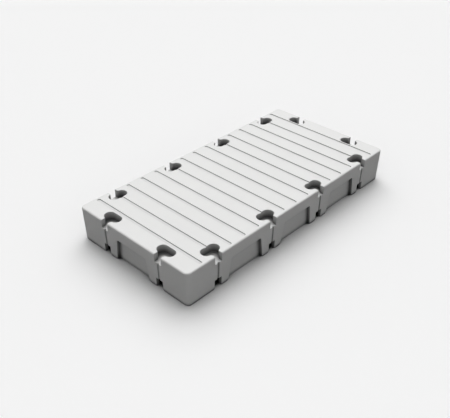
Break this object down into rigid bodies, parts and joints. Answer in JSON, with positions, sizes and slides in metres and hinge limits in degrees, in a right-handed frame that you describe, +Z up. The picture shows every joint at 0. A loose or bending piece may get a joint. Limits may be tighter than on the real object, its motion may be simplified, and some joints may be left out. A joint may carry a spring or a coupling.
{
  "type": "plastic pontoon",
  "caption": "Rectangular moulded float with a planked deck, double-lobed coupling pockets along every edge and tapered side recesses.",
  "frame": {"origin": "middle of the flat underside", "axes": "+X along the 2 m length, +Y across the 1 m width, +Z up out of the deck"},
  "size_m": [2, 1, 0.25],
  "materials": {
    "polyethylene": "satin, as moulded"
  },
  "bodies": {
    "root": {"pontoon_body": "polyethylene"}
  },
  "joints": []
}
